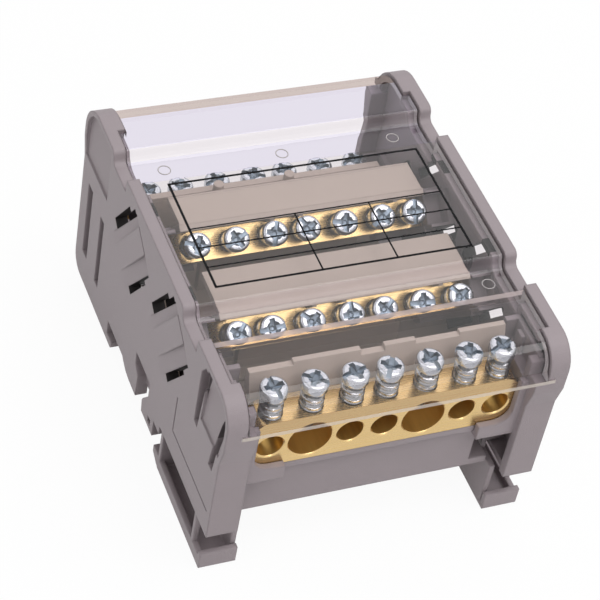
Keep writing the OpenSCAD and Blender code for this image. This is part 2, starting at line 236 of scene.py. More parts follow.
def grain_group() -> NodeTree:
    """Builds the shared surface group: fine grain, broad mottling and a roughness that follows both.

    Returns:
        The shader node group.
    """
    found = bpy.data.node_groups.get("surface_grain")
    if found:
        return found
    tree = bpy.data.node_groups.new("surface_grain", "ShaderNodeTree")
    kit = NodeKit(tree)
    kit.socket("Colour", "INPUT", "Color")
    for name in ("Grain Scale", "Mottle Scale", "Mottle", "Roughness", "Spread"):
        kit.socket(name, "INPUT", "Float")
    kit.socket("Stretch", "INPUT", "Vector")
    kit.socket("Colour", "OUTPUT", "Color")
    kit.socket("Roughness", "OUTPUT", "Float")
    kit.socket("Height", "OUTPUT", "Float")
    inside = kit.add("NodeGroupInput").outputs
    outside = kit.add("NodeGroupOutput").inputs
    drawn = kit.add("ShaderNodeVectorMath", operation="MULTIPLY")
    kit.link(kit.add("ShaderNodeTexCoord").outputs["Object"], drawn.inputs[0])
    kit.link(inside["Stretch"], drawn.inputs[1])
    noises = []
    for scale, detail in (("Grain Scale", 3.0), ("Mottle Scale", 4.0)):
        noise = kit.add("ShaderNodeTexNoise")
        noise.inputs["Detail"].default_value = detail
        kit.link(drawn.outputs[0], noise.inputs["Vector"])
        kit.link(inside[scale], noise.inputs["Scale"])
        noises.append(noise.outputs["Fac"])
    grain, broad = noises
    centred = kit.math("SUBTRACT", broad, NOISE_MIDDLE)
    tint = kit.add("ShaderNodeVectorMath", operation="SCALE")
    kit.link(inside["Colour"], tint.inputs[0])
    kit.link(kit.math("MULTIPLY_ADD", centred, inside["Mottle"], 1.0), tint.inputs["Scale"])
    swing = kit.math("SUBTRACT", kit.math("ADD", grain, centred), NOISE_MIDDLE)
    rough = kit.math("MULTIPLY_ADD", swing, inside["Spread"], inside["Roughness"], clamp=True)
    kit.link(tint.outputs[0], outside["Colour"])
    kit.link(rough, outside["Roughness"])
    kit.link(grain, outside["Height"])
    return tree


@dataclass(frozen=True)
class Finish:
    """A surface finish made from the shared grain.

    Attributes:
        name: The material's name.
        colour: Base colour, linear.
        roughness: Middle roughness.
        metallic: 1 for bare metal.
        grain_scale: Scale of the fine grain, per metre.
        mottle_scale: Scale of the broad colour change, per metre.
        mottle: Strength of the broad colour change.
        spread: Swing of the roughness.
        bump: Height of the grain in metres.
        specular: Specular level of the shader.
        stretch: Scale of the pattern along each axis; a small value draws it out.
        soft: Radius over which the edges of a moulding shade off, in metres.
    """

    name: str
    colour: Colour
    roughness: float = 0.5
    metallic: float = 0.0
    grain_scale: float = 4000.0
    mottle_scale: float = 90.0
    mottle: float = 0.08
    spread: float = 0.1
    bump: float = 0.00002
    specular: float = 0.5
    stretch: Point = (1.0, 1.0, 1.0)
    soft: float = 0.0

    def build(self) -> Material:
        """Makes the material, once.

        Returns:
            The material.
        """
        found = bpy.data.materials.get(self.name)
        if found:
            return found
        material = bpy.data.materials.new(self.name)
        material.use_nodes = True
        kit = NodeKit(material.node_tree)
        shader = material.node_tree.nodes["Principled BSDF"]
        fill(shader, {"Metallic": self.metallic, "Specular IOR Level": self.specular})
        group = kit.add("ShaderNodeGroup", node_tree=grain_group())
        fill(group, {
            "Colour": self.colour,
            "Grain Scale": self.grain_scale,
            "Mottle Scale": self.mottle_scale,
            "Mottle": self.mottle,
            "Roughness": self.roughness,
            "Spread": self.spread,
            "Stretch": self.stretch,
        })
        bump = kit.add("ShaderNodeBump")
        bump.inputs["Distance"].default_value = self.bump
        kit.link(group.outputs["Height"], bump.inputs["Height"])
        if self.soft > 0.0:
            eased = kit.add("ShaderNodeBevel", samples=EDGE_SAMPLES)
            eased.inputs["Radius"].default_value = self.soft
            kit.link(eased.outputs["Normal"], bump.inputs["Normal"])
        kit.link(group.outputs["Colour"], shader.inputs["Base Color"])
        kit.link(group.outputs["Roughness"], shader.inputs["Roughness"])
        kit.link(bump.outputs["Normal"], shader.inputs["Normal"])
        self.extend(kit, shader)
        return material

    def extend(self, kit: NodeKit, shader: Node) -> None:
        """Adds what a particular finish has beyond the grain; plain finishes add nothing."""


@dataclass(frozen=True)
class ClearFinish(Finish):
    """Polished clear plastic that lets lamp light through to what is below it.

    Attributes:
        ior: Index of the body, near one because the sheet is thin.
        coat_ior: Index of the polished surface.
        coat: Weight of the polished surface.
        clear: Share of light that passes.
        veil: Share of light that a steep surface spreads to its other side, also seen through the sheet.
        level: Height above which the veil shows, in metres.
        fade: Distance over which the veil comes in, to either side of its level.
        passing: Colour that shadow, diffuse and mirrored rays take on.
    """

    roughness: float = 0.03
    mottle: float = 0.01
    spread: float = 0.01
    bump: float = 0.0
    ior: float = 1.04
    coat_ior: float = 1.45
    coat: float = 1.0
    clear: float = 1.0
    veil: float = 0.0
    level: float = 0.0
    fade: float = 0.15 * MM
    passing: Colour = (0.985, 0.98, 0.985, 1)

    def extend(self, kit: NodeKit, shader: Node) -> None:
        """Makes the shader transmit and lets shadow, diffuse and mirrored rays pass.

        Args:
            kit: Helper on the material's tree.
            shader: The Principled shader.
        """
        fill(shader, {
            "Transmission Weight": self.clear,
            "IOR": self.ior,
            "Coat Weight": self.coat,
            "Coat IOR": self.coat_ior,
            "Coat Roughness": self.roughness,
        })
        output = kit.tree.nodes["Material Output"]
        rays = kit.add("ShaderNodeLightPath").outputs
        body, mirrored = shader.outputs["BSDF"], rays["Is Glossy Ray"]
        if self.veil:
            body = self.veiled(kit, body)
            mirrored = kit.math("SUBTRACT", mirrored, rays["Is Transmission Ray"], clamp=True)
        through = kit.add("ShaderNodeBsdfTransparent")
        through.inputs["Color"].default_value = self.passing
        mix = kit.add("ShaderNodeMixShader")
        kit.link(kit.any_of([rays["Is Shadow Ray"], rays["Is Diffuse Ray"], mirrored]), mix.inputs["Fac"])
        kit.link(body, mix.inputs[1])
        kit.link(through.outputs["BSDF"], mix.inputs[2])
        kit.link(mix.outputs["Shader"], output.inputs["Surface"])

    def veiled(self, kit: NodeKit, body: Socket) -> Socket:
        """Mixes light from behind into the upper part of a steep surface.

        Args:
            kit: Helper on the material's tree.
            body: The clear body's shader.

        Returns:
            The mixed shader.
        """
        spread = kit.add("ShaderNodeBsdfTranslucent")
        spread.inputs["Color"].default_value = self.colour
        apart = kit.add("ShaderNodeSeparateXYZ")
        kit.link(kit.add("ShaderNodeTexCoord").outputs["Object"], apart.inputs["Vector"])
        upper = kit.add("ShaderNodeMapRange")
        fill(upper, {
            "From Min": self.level - self.fade,
            "From Max": self.level + self.fade,
            "To Max": self.veil,
        })
        kit.link(apart.outputs["Z"], upper.inputs["Value"])
        blend = kit.add("ShaderNodeMixShader")
        kit.link(upper.outputs["Result"], blend.inputs["Fac"])
        kit.link(body, blend.inputs[1])
        kit.link(spread.outputs["BSDF"], blend.inputs[2])
        return blend.outputs["Shader"]


GREY = Finish("moulded_grey", (0.285, 0.243, 0.256, 1), roughness=0.52, mottle=0.14, spread=0.14,
              bump=0.00006, specular=0.4, soft=0.0006)
# Near-black painted shade for the faces inside the walls' windows and for the baffles behind them.
GREY_PAINTED_WINDOW_SHADE = Finish("moulded_grey_painted_window_shade", (0.020, 0.017, 0.017, 1), roughness=0.6, mottle=0.2, spread=0.1,
                   specular=0.2)
# Darker grey painted shade for the faces inside the slots of the walls' outer faces.
GREY_PAINTED_SLOT_SHADE = replace(GREY_PAINTED_WINDOW_SHADE, name="moulded_grey_painted_slot_shade", colour=(0.11, 0.094, 0.098, 1))
# A lighter copy of the moulded grey: painted light for the light that falls through the cover onto the
# carrier.
GREY_PAINTED_LIGHT = Finish("moulded_grey_painted_light", (0.50, 0.42, 0.365, 1), roughness=0.5, mottle=0.08, soft=0.0003)
CLEAR = ClearFinish("clear_cover", (0.60, 0.55, 0.56, 1))
CLEAR_REAR = ClearFinish("clear_cover_rear", (0.56, 0.51, 0.65, 1))
# Tan along the bends and eased edges: partly the stronger tint of the longer path through the bend, partly
# painted shade for the dark that refraction shows there.
CLEAR_BEND_TINT_AND_SHADE = ClearFinish("clear_cover_bend_tint_and_shade", (0.42, 0.315, 0.275, 1), ior=1.01, coat=0.0)
CLEAR_STEP = ClearFinish("clear_cover_step", (0.80, 0.74, 0.78, 1), roughness=0.05, mottle=0.02, spread=0.02,
                         ior=1.03, coat=0.3, clear=0.88)
CLEAR_VEIL = replace(CLEAR_STEP, name="clear_cover_edge", colour=(0.92, 0.80, 0.78, 1), clear=1.0, veil=0.62,
                     level=47.4 * MM)
# A lighter, half opaque finish on the front lip's edge: a painted highlight where that edge catches light.
CLEAR_LIP_HIGHLIGHT = replace(CLEAR_STEP, name="clear_cover_lip_highlight", colour=(0.74, 0.67, 0.60, 1), roughness=0.1,
                    mottle=0.05, spread=0.05, clear=0.45)
CLEAR_END = Finish("clear_cover_end", (0.50, 0.47, 0.48, 1), roughness=0.3, mottle=0.1, spread=0.1, bump=0.0)
MARK = replace(CLEAR_END, name="mould_mark", colour=(0.42, 0.39, 0.39, 1))
BRASS = Finish("drawn_brass", (0.70, 0.50, 0.235, 1), roughness=0.27, metallic=1.0, grain_scale=5000.0,
               mottle_scale=900.0, mottle=0.14, spread=0.12, bump=0.000002, stretch=(0.04, 1.0, 1.0))
BORE = Finish("bored_brass", (0.66, 0.42, 0.13, 1), roughness=0.34, metallic=0.85, grain_scale=6000.0,
              mottle_scale=1200.0, mottle=0.3, spread=0.16, bump=0.000004, stretch=(1.0, 0.1, 1.0))
ZINC = Finish("zinc_plate", (0.52, 0.55, 0.59, 1), roughness=0.24, metallic=1.0, grain_scale=3000.0,
              mottle_scale=700.0, mottle=0.3, spread=0.14, bump=0.000008)
# A darker copy of the zinc on the neck and thread: painted shade for the dark interior that they mirror.
SHANK_PAINTED_SHADE = replace(ZINC, name="zinc_shank_painted_shade", colour=(0.40, 0.41, 0.42, 1), roughness=0.16, spread=0.1,
                bump=0.000006)
# A darker blue-grey copy of the zinc for the drive recess: painted shade for the shade inside it.
RECESS_PAINTED_SHADE = replace(ZINC, name="zinc_recess_painted_shade", colour=(0.20, 0.25, 0.30, 1), roughness=0.42, mottle=0.4,
                 spread=0.2, bump=0.00001)
INK = Finish("print_black", (0.006, 0.006, 0.007, 1), roughness=0.6, mottle=0.2, spread=0.1, bump=0.0,
             specular=0.1)


def link_object(name: str, data: ID) -> Object:
    """Makes an object at the origin and puts it in the scene.

    Args:
        name: The object's name.
        data: Its mesh, lamp or camera.

    Returns:
        The object.
    """
    made = bpy.data.objects.new(name, data)
    bpy.context.scene.collection.objects.link(made)
    return made


def bake(obj: Object) -> None:
    """Gives an object its evaluated mesh and takes its modifiers away.

    Args:
        obj: The object, changed in place.
    """
    graph = bpy.context.evaluated_depsgraph_get()
    graph.update()
    mesh = bpy.data.meshes.new_from_object(obj.evaluated_get(graph))
    obj.modifiers.clear()
    obj.data = mesh


def grow(obj: Object, tree: NodeTree, values: dict[str, object]) -> None:
    """Runs a Geometry Nodes tree on an object and keeps the result as its mesh.

    Args:
        obj: The object.
        tree: The tree.
        values: Value of each named input, set by the input's identifier.
    """
    modifier = obj.modifiers.new(tree.name, "NODES")
    modifier.node_group = tree
    for item in tree.interface.items_tree:
        if item.item_type == "SOCKET" and item.in_out == "INPUT" and item.name in values:
            modifier[item.identifier] = values[item.name]
    bake(obj)


def mesh_of(name: str, shape: BMesh) -> Mesh:
    """Turns a finished shape into a mesh and frees the shape.

    Args:
        name: The mesh's name.
        shape: The shape.

    Returns:
        The mesh.
    """
    mesh = bpy.data.meshes.new(name)
    shape.to_mesh(mesh)
    shape.free()
    return mesh


def add_box(shape: BMesh, low: Point, high: Point, at: Matrix = Matrix.Identity(4), finish: int = 0) -> None:
    """Adds a box to a mesh.

    Args:
        shape: The mesh, changed in place.
        low: One corner in millimetres.
        high: The opposite corner in millimetres.
        at: Frame that the corners are measured in.
        finish: Number of the box's finish.
    """
    size = [abs(b - a) * MM for a, b in zip(low, high)]
    middle = [(a + b) / 2 * MM for a, b in zip(low, high)]
    place = at @ Matrix.Translation(middle) @ Matrix.Diagonal((*size, 1))
    made = bmesh.ops.create_cube(shape, size=1.0, matrix=place)
    for face in {face for vert in made["verts"] for face in vert.link_faces}:
        face.material_index = finish


def shade(mesh: Mesh, angle: float = 35.0) -> None:
    """Smooths a mesh and keeps its sharp edges.

    Args:
        mesh: The mesh, changed in place.
        angle: Edges sharper than this stay sharp, in degrees.
    """
    mesh.polygons.foreach_set("use_smooth", [True] * len(mesh.polygons))
    mesh.set_sharp_from_angle(angle=math.radians(angle))
    mesh.update()


def place_piece(obj: Object, body: str, nodes: Sequence[str] = ()) -> None:
    """Gives a finished piece its body and the solids it stands for.

    Args:
        obj: The finished piece.
        body: The body it rides on.
        nodes: CAD nodes that it replaces.
    """
    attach(obj, body)
    for node in nodes:
        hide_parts(node)
    log.info("%s rides on %s, %d faces", obj.name, body, len(obj.data.polygons))


@dataclass
class MouldedPiece:
    """A moulded or cut piece: the solid of a CAD node with its edges eased.

    Attributes:
        node: The CAD node that gives the shape.
        body: The body the piece rides on.
        slot: The record's material slot; not used.
        finish: The surface finish.
        others: Finishes of the faces that pick gives the numbers one, two and so on.
        edge: Number of the finish on the eased edges, or -1 for their neighbours' finish.
        ease: Width of the eased edges in millimetres.
        segments: Segments across an eased edge.
        limit: Edges sharper than this angle are eased, in degrees.
        cells: Side of the grid that flat faces are divided on, in millimetres.
        shift: Start of the grid, as a share of its side.
        weld: Corners nearer than this are joined, in millimetres.
        flat: Faces that meet at less than this angle are joined, in degrees.
        lead: How far large faces lead the shading of their edges, up to 100.
    """

    node: str
    body: str
    slot: Slot
    finish: Finish
    others: Sequence[Finish] = ()
    edge: int = -1
    ease: float = 0.3
    segments: int = 2
    limit: float = 38.0
    cells: float = 4.0
    shift: float = 0.37
    weld: float = 0.002
    flat: float = 1.0
    lead: int = 90

    def build(self) -> None:
        """Copies the solid, eases its edges and dresses it."""
        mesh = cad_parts[self.node].data.copy()
        mesh.name = f"{self.node}_dressed"
        shape = bmesh.new()
        shape.from_mesh(mesh)
        bmesh.ops.remove_doubles(shape, verts=shape.verts, dist=self.weld * MM)
        self.divide(shape)
        for face in shape.faces:
            face.material_index = self.pick(face)
        self.add_shapes(shape)
        mesh.materials.clear()
        for finish in (self.finish, *self.others):
            mesh.materials.append(finish.build())
        shape.to_mesh(mesh)
        shape.free()
        made = link_object(f"{self.node}_dressed", mesh)
        bevel = made.modifiers.new("eased_edges", "BEVEL")
        bevel.width = self.ease * MM
        bevel.segments = self.segments
        bevel.limit_method = "ANGLE"
        bevel.angle_limit = math.radians(self.limit)
        bevel.use_clamp_overlap = True
        bevel.material = self.edge
        bevel.miter_outer = "MITER_ARC"
        bake(made)
        shade(made.data)
        even = made.modifiers.new("even_faces", "WEIGHTED_NORMAL")
        even.mode = "FACE_AREA"
        even.keep_sharp = True
        even.weight = self.lead
        bake(made)
        place_piece(made, self.body, [self.node])

    def add_shapes(self, shape: BMesh) -> None:
        """Adds what a particular piece has beyond its solid; plain pieces add nothing."""

    def pick(self, face: BMFace) -> int:
        """Gives the number of a face's finish; plain pieces have one finish.

        Args:
            face: A face of the mesh.

        Returns:
            Zero for the piece's own finish, or the place in others from one.
        """
        return 0

    def divide(self, shape: BMesh) -> None:
        """Joins the flat triangles into faces, cut along a grid so that no face runs round a window.

        Args:
            shape: The welded mesh, changed in place.
        """
        step = self.cells
        for axis in (1, 2):
            spots = [v.co[axis] for v in shape.verts]
            at = math.floor(min(spots) / (step * MM)) * step * MM + self.shift * step * MM
            while at < max(spots):
                normal = Vector((0, 0, 0))
                normal[axis] = 1.0
                cut = bmesh.ops.bisect_plane(
                    shape, geom=shape.verts[:] + shape.edges[:] + shape.faces[:],
                    dist=CUT_GAP, plane_co=normal * at, plane_no=normal,
                )
                for edge in cut["geom_cut"]:
                    if isinstance(edge, BMEdge):
                        edge.seam = True
                at += step * MM
        bmesh.ops.dissolve_limit(
            shape, angle_limit=math.radians(self.flat), verts=shape.verts, edges=shape.edges, delimit={"SEAM"}
        )


@dataclass
class Carrier(MouldedPiece):
    """The bar carrier, with a thin floor under the second row, painted lighter than its apron for the light
    that falls on it through the cover.

    Attributes:
        floor_low: Lowest X, Y and Z of the floor.
        floor_high: Highest X, Y and Z of the floor.
        apron: The apron lies before this Y.
    """

    floor_low: Point = (-32.6, -12.0, 16.0)
    floor_high: Point = (32.6, 0.0, 16.8)
    apron: float = -35.0

    def add_shapes(self, shape: BMesh) -> None:
        """Lays the floor between the supports."""
        add_box(shape, self.floor_low, self.floor_high)

    def pick(self, face: BMFace) -> int:
        """Gives one to the apron, which keeps the plain grey without the painted light."""
        return int(face.calc_center_median().y / MM < self.apron)


@dataclass
class EndWall(MouldedPiece):
    """An end wall, with painted shade inside its windows and in the slots of its outer face.

    Attributes:
        window_at: Y and Z of the middle of each pair of windows.
        window_tilt: Lean of the windows in degrees.
        slots: Lowest and highest place of each window across its pair.
        span: Lowest and highest place along a window.
        depths: Nearest and farthest X of the faces inside a window.
        groove_x: Nearest and farthest X of the faces inside a slot.
        grooves: Lowest and highest Y, and lowest and highest Z, of each slot of the outer face.
        web: Lowest and highest X, Y and Z of the web that closes the recess over the rail.
        shade_baffle_x: Nearest and farthest X of the baffles that close the windows inside.
        shade_baffle_span: Lowest and highest place of the baffles along the windows.
        drift: Widening of a baffle beyond its window.
    """

    window_at: Sequence[Pair] = ((-12.204, 36.0), (12.6926, 36.0))
    window_tilt: float = 36.0
    slots: Sequence[Pair] = ((5.2, 7.7), (-8.7, -6.7))
    span: Pair = (-6.4, 9.8)
    depths: Pair = (29.5, 35.4)
    groove_x: Pair = (33.5, 34.45)
    grooves: Sequence[tuple[float, float, float, float]] = (
        (-43.5, -39.5, 28.8, 44.8),
        (-33.9, -30.3, 30.8, 47.9),
        (28.4, 31.0, 8.7, 28.1),
        (36.8, 40.0, 9.3, 29.5),
    )
    web: tuple[Point, Point] = ((33.0, -7.2, 8.6), (33.5, 2.2, 16.5))
    shade_baffle_x: Pair = (29.6, 29.9)
    shade_baffle_span: Pair = (-16.0, -2.5)
    drift: float = 1.8

    def add_shapes(self, shape: BMesh) -> None:
        """Closes the recess over the rail with a thin web, and the windows with near-black baffles of painted
        shade.

        Args:
            shape: The divided mesh, changed in place.
        """
        side = 1 if sum(v.co.x for v in shape.verts) > 0 else -1
        low, high = ((side * x, y, z) for x, y, z in self.web)
        add_box(shape, low, high)
        turn = Matrix.Rotation(math.radians(self.window_tilt), 4, "X")
        for y, z in self.window_at:
            for near, far in self.slots:
                # Each baffle takes the window finish: a near-black sheet of painted shade that closes the
                # window inside.
                add_box(
                    shape,
                    (side * self.shade_baffle_x[0], near, self.shade_baffle_span[0]),
                    (side * self.shade_baffle_x[1], far + self.drift, self.shade_baffle_span[1]),
                    Matrix.Translation((0, y * MM, z * MM)) @ turn,
                    WallZone.WINDOW,
                )

    def pick(self, face: BMFace) -> int:
        """Tells the faces inside the windows and the slots, which take painted shade, from the rest.

        Args:
            face: A face of the mesh.

        Returns:
            The face's zone.
        """
        centre = face.calc_center_median() / MM
        out = abs(centre.x)
        turn = math.radians(self.window_tilt)
        if self.depths[0] < out < self.depths[1]:
            for y, z in self.window_at:
                across = (centre.y - y) * math.cos(turn) + (centre.z - z) * math.sin(turn)
                along = (centre.z - z) * math.cos(turn) - (centre.y - y) * math.sin(turn)
                within = self.span[0] < along < self.span[1]
                if within and any(low < across < high for low, high in self.slots):
                    return WallZone.WINDOW
        # Faces inside the outer face's slots take the darker grey of painted shade.
        inside = self.groove_x[0] < out < self.groove_x[1] and any(
            near < centre.y < far and low < centre.z < high for near, far, low, high in self.grooves
        )
        return WallZone.SLOT if inside else WallZone.FACE


@dataclass
class TerminalBar(MouldedPiece):
    """A brass bar, whose bores keep the dull gold of the drill.

    Attributes:
        lean: Lean of the bar in degrees.
        middle: Y and Z of the bar's middle.
        half: Half the bar's depth and height.
        corner: The bar's rounded corners lie beyond this X.
        skin: Faces nearer than this to the bar's outline belong to its outside.
    """

    lean: float = 0.0
    middle: Pair = (0.0, 0.0)
    half: Pair = (3.2, 6.3)
    corner: float = 24.4
    skin: float = 0.25

    def pick(self, face: BMFace) -> int:
        """Tells the bores from the outside of the bar.

        Args:
            face: A face of the mesh.

        Returns:
            One for a face inside the bar's outline, or zero.
        """
        centre = face.calc_center_median() / MM - Vector((0, *self.middle))
        centre.rotate(Matrix.Rotation(-math.radians(self.lean), 3, "X"))
        inside = all(abs(place) < half - self.skin for place, half in zip(centre.yz, self.half))
        rounded = abs(centre.x) > self.corner and face.normal.x * centre.x > 0
        return int(inside and not rounded)


@dataclass
class ClearCover(MouldedPiece):
    """The clear cover, with tint and painted shade along its bends, a painted highlight on its front lip's
    edge, and bright at the cut ends.

    Attributes:
        lip: The front lip's edge lies before this Y.
        front: The front bend lies before this Y.
        last_step: The rear groove and sheet lie behind this Y.
        rear: The rear bend lies behind this Y.
        rise: The rear bend lies above this height.
        square: Least share of an axis in the normal of a face that looks along it.
        level: Least share of Z in the normal of a level face.
        upright: Largest downward share of Z in the normal of an upright face.
    """

    lip: float = -45.6
    front: float = -36.0
    last_step: float = 17.5
    rear: float = 37.4
    rise: float = 44.5
    square: float = 0.9
    level: float = 0.75
    upright: float = 0.1

    def pick(self, face: BMFace) -> int:
        """Tells the parts of the cover apart by their place and direction.

        Args:
            face: A face of the mesh.

        Returns:
            The face's zone.
        """
        centre, way = face.calc_center_median() / MM, face.normal
        level = abs(way.z) > self.level
        if abs(way.x) > self.square:
            return CoverZone.END
        # The front lip's edge takes the painted highlight.
        if centre.y < self.lip and abs(way.y) > self.square:
            return CoverZone.LIP
        if centre.y > self.rear:
            return CoverZone.BEND if centre.z > self.rise else CoverZone.REAR
        if level and centre.y > self.last_step:
            return CoverZone.REAR
        if level or centre.y < self.front:
            return CoverZone.SHEET
        faces_back = centre.y < 0 < way.y and way.z > -self.upright
        return CoverZone.EDGE if faces_back else CoverZone.STEP


@dataclass
class TerminalScrews:
    """The zinc plated clamping screws: domed head, drive recess, neck and a real helical thread.

    Attributes:
        head_radius: Radius of the head.
        head_height: Height of the head.
        neck_radius: Radius below the head.
        neck_height: Height of the plain neck.
        core_radius: Radius at the root of the thread.
        crest_radius: Radius at the crest of the thread.
        pitch: Rise of the thread in a turn.
        length: Length from the head's top to the point.
        bar_half: Half the height of a bar.
        rises: Height of the head's top over each bar.
        tilt: Forward lean of the middle bars in degrees.
        leaning: Rows of the bars that lean.
        turned: Rows that are numbered from the other end.
        bar_at: Y and Z of the middle of each bar.
        holes: Places along a bar.
        facets: Sides of the turned shapes.
        ridge_sides: Sides of the ridge that is swept along the thread.
        dome: Share of the head's radius, and drop, of each ring of its top.
        under: Step inwards and upwards of each ring of the head's lower edge.
        flare: Height of the step from neck to core.
        tip: Width and height of the cone at the point.
        bare: Length of the point without thread.
        slot: Width and depth of the drive slot.
        cross: Width, length and depth of the cross.
        funnel: Lower radius, upper radius and depth of the round recess.
        funnel_at: Height of that recess's middle.
        drive_turn: Turn of the slot in degrees: first, for each place and for each row.
        over: How far the cutters of the slot and the cross stand out.
        soft_edge: Width of the eased edges.
        segments: Segments across an eased edge.
        crease: Edges sharper than this angle are eased, in degrees.
        skirt: Height of the head's lower edge that has the shank's finish, the darker zinc of painted shade.
    """

    head_radius: float = 2.75
    head_height: float = 2.4
    neck_radius: float = 2.0
    neck_height: float = 1.0
    core_radius: float = 1.95
    crest_radius: float = 2.4
    pitch: float = 0.62
    length: float = 9.4
    bar_half: float = 6.3
    rises: Sequence[float] = (6.9, 5.6, 5.6, 6.9)
    tilt: float = 40.0
    leaning: Sequence[int] = (2, 3)
    turned: Sequence[int] = (2, 4)
    bar_at: Sequence[Pair] = ((-38.1, 33.2), (-12.404, 32.4), (12.4926, 32.4), (34.7, 15.5))
    holes: Sequence[float] = (-23.95, -15.6, -7.25, 0.0, 8.35, 16.7, 23.95)
    facets: int = 48
    ridge_sides: int = 6
    dome: Sequence[Pair] = (
        (0.0, 0.0), (0.5, 0.02), (0.78, 0.07), (0.91, 0.18), (0.98, 0.42), (1.0, 0.75)
    )
    under: Sequence[Pair] = ((0.0, 0.3), (0.14, 0.08), (0.3, 0.0))
    flare: float = 0.1
    tip: float = 0.5
    bare: float = 0.4
    slot: Pair = (1.0, 1.0)
    cross: Point = (1.15, 4.07, 1.3)
    funnel: Point = (0.4, 1.55, 1.7)
    funnel_at: float = -0.75
    drive_turn: Point = (20.0, 47.0, 31.0)
    over: float = 1.0
    soft_edge: float = 0.09
    segments: int = 2
    crease: float = 40.0
    skirt: float = 0.1

    def lathe(self) -> Mesh:
        """Turns the head, neck and core, with the head's top at zero.

        Returns:
            The turned mesh.
        """
        r, h = self.head_radius, self.head_height
        low = -self.length
        profile = [(r * share, -drop) for share, drop in self.dome]
        profile += [(r - inward, -h + rise) for inward, rise in self.under]
        profile += [
            (self.neck_radius, -h),
            (self.neck_radius, -h - self.neck_height),
            (self.core_radius, -h - self.neck_height - self.flare),
            (self.core_radius, low + self.tip),
            (self.core_radius - self.tip, low),
            (0.0, low),
        ]
        shape = bmesh.new()
        rings: list[list[BMVert]] = []
        for radius, z in profile:
            rings.append([
                shape.verts.new((
                    radius * MM * math.cos(math.tau * i / self.facets),
                    radius * MM * math.sin(math.tau * i / self.facets),
                    z * MM,
                ))
                for i in range(self.facets if radius else 1)
            ])
        for upper, lower in zip(rings, rings[1:]):
            for i in range(self.facets):
                j = (i + 1) % self.facets
                if len(upper) == 1:
                    shape.faces.new((upper[0], lower[i], lower[j]))
                elif len(lower) == 1:
                    shape.faces.new((upper[i], lower[0], upper[j]))
                else:
                    shape.faces.new((upper[i], lower[i], lower[j], upper[j]))
        bmesh.ops.recalc_face_normals(shape, faces=shape.faces)
        return mesh_of("screw_turned", shape)

    def drive(self) -> Mesh:
        """Builds the cutter of the drive recess: a full slot, a shorter, deeper cross and a funnel.

        Returns:
            The cutter's mesh.
        """
        shape = bmesh.new()
        for wide, deep, down in ((2 * self.head_radius + self.over, *self.slot), self.cross):
            add_box(shape, (-wide / 2, -deep / 2, -down), (wide / 2, deep / 2, self.over))
        narrow, broad, depth = self.funnel
        sides = self.facets // 2
        bmesh.ops.create_cone(
            shape, cap_ends=True, segments=sides, radius1=narrow * MM, radius2=broad * MM, depth=depth * MM,
            matrix=Matrix.Translation((0, 0, self.funnel_at * MM)) @ Matrix.Rotation(math.pi / sides, 4, "Z"),
        )
        return mesh_of("screw_drive", shape)

    def thread_tree(self) -> NodeTree:
        """Builds the tree that sweeps a ridge along a helix.

        Returns:
            The Geometry Nodes tree.
        """
        kit = geometry_kit("screw_thread", ("Radius", "Turns", "Height", "Ridge"))
        inside = kit.add("NodeGroupInput").outputs
        helix = kit.add("GeometryNodeCurveSpiral")
        helix.inputs["Resolution"].default_value = self.facets
        kit.link(inside["Turns"], helix.inputs["Rotations"])
        kit.link(inside["Radius"], helix.inputs["Start Radius"])
        kit.link(inside["Radius"], helix.inputs["End Radius"])
        kit.link(inside["Height"], helix.inputs["Height"])
        ridge = kit.circle(inside["Ridge"], self.ridge_sides)
        kit.put_out(kit.sweep(helix.outputs["Curve"], ridge, caps=True), inside["Finish"])
        return kit.tree

    def pattern(self) -> Mesh:
        """Makes the one screw that every place repeats, head top at zero.

        Returns:
            The screw's mesh.
        """
        turned = link_object("screw_turned", self.lathe())
        cutter = link_object("screw_drive", self.drive())
        # The cutter passes the darker zinc, painted shade, to the faces of the drive recess.
        cutter.data.materials.append(RECESS_PAINTED_SHADE.build())
        turned.data.materials.append(ZINC.build())
        cut = turned.modifiers.new("drive", "BOOLEAN")
        cut.operation = "DIFFERENCE"
        cut.use_self = True
        cut.object = cutter
        cut.solver = "EXACT"
        cut.material_mode = "TRANSFER"
        soften = turned.modifiers.new("soften", "BEVEL")
        soften.width = self.soft_edge * MM
        soften.segments = self.segments
        soften.limit_method = "ANGLE"
        soften.angle_limit = math.radians(self.crease)
        bake(turned)
        # The neck, the thread and the head's lower edge take the darker zinc, painted shade.
        turned.data.materials.append(SHANK_PAINTED_SHADE.build())
        shank = len(turned.data.materials) - 1
        for face in turned.data.polygons:
            if face.center.z < (self.skirt - self.head_height) * MM:
                face.material_index = shank
        height = self.length - self.bare - self.head_height - self.neck_height
        coil = link_object("screw_coil", bpy.data.meshes.new("screw_coil"))
        grow(coil, self.thread_tree(), {
            "Radius": self.core_radius * MM,
            "Turns": height / self.pitch,
            "Height": height * MM,
            "Ridge": (self.crest_radius - self.core_radius) * MM,
            "Finish": SHANK_PAINTED_SHADE.build(),
        })
        coil.data.transform(Matrix.Translation((0, 0, (self.bare - self.length) * MM)))
        for face in coil.data.polygons:
            face.material_index = shank
        whole = bmesh.new()
        whole.from_mesh(turned.data)
        whole.from_mesh(coil.data)
        whole.to_mesh(turned.data)
        whole.free()
        mesh = turned.data
        shade(mesh, self.crease)
        for scrap in (coil, turned, cutter):
            bpy.data.objects.remove(scrap)
        return mesh

    def lean(self, row: int) -> float:
        """Gives the lean of a row's bar in degrees."""
        return self.tilt if row in self.leaning else 0.0

